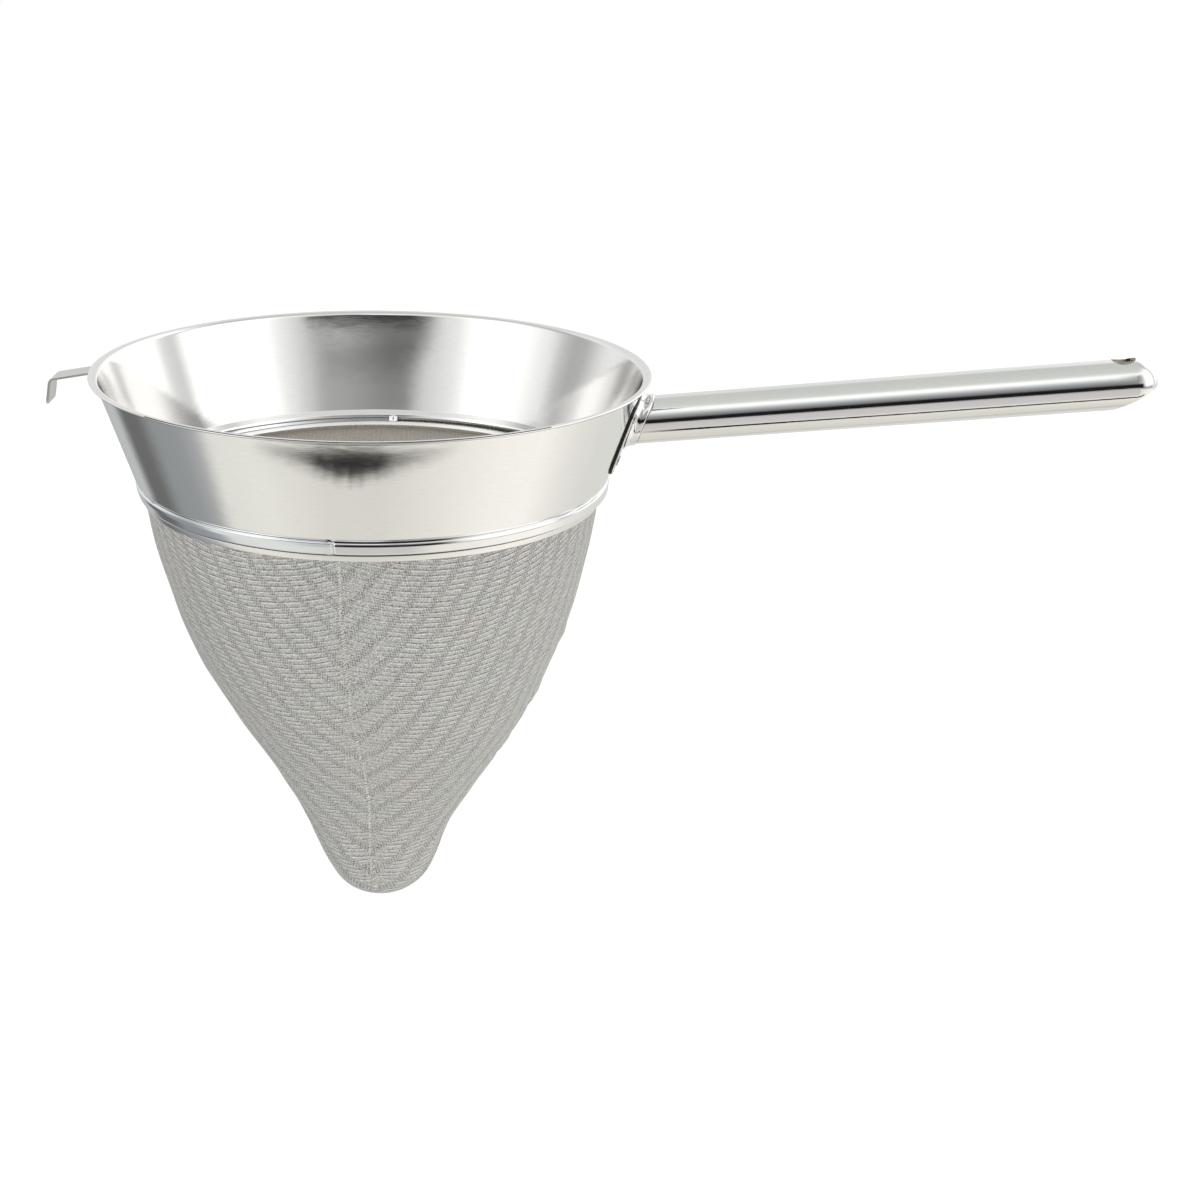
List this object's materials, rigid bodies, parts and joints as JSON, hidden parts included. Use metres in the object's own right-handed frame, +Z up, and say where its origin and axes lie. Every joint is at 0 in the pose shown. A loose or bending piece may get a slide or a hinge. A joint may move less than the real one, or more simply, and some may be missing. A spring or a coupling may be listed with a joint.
{
  "type": "chinois strainer",
  "caption": "Cone-shaped fine mesh strainer with a spun steel collar, rolled clamp band, tubular handle with hang hole and a rest hook.",
  "frame": {"origin": "middle of the mouth, level with the top of the lip's edge", "axes": "+Z up the cone's axis and out of the mouth, +X along the handle, hook on the -X side"},
  "size_m": [0.4121, 0.2074, 0.2246],
  "materials": {
    "polished_steel": "polished",
    "satin_steel": "satin",
    "welded_steel": "matt",
    "wire_mesh": "woven wire"
  },
  "bodies": {
    "root": {"collar": "polished_steel", "clamp_band_handle_side": "polished_steel", "clamp_band_hook_side": "polished_steel", "band_joint_welds": "welded_steel", "inner_hoop": "satin_steel", "outer_hoop": "satin_steel", "mesh_cone": "wire_mesh", "seam_stitching": "wire_mesh", "handle_plate": "satin_steel", "handle_socket": "polished_steel", "handle_tube": "polished_steel", "hook_strip": "satin_steel", "plate_spot_welds": "welded_steel", "hook_spot_welds": "welded_steel"}
  },
  "joints": []
}
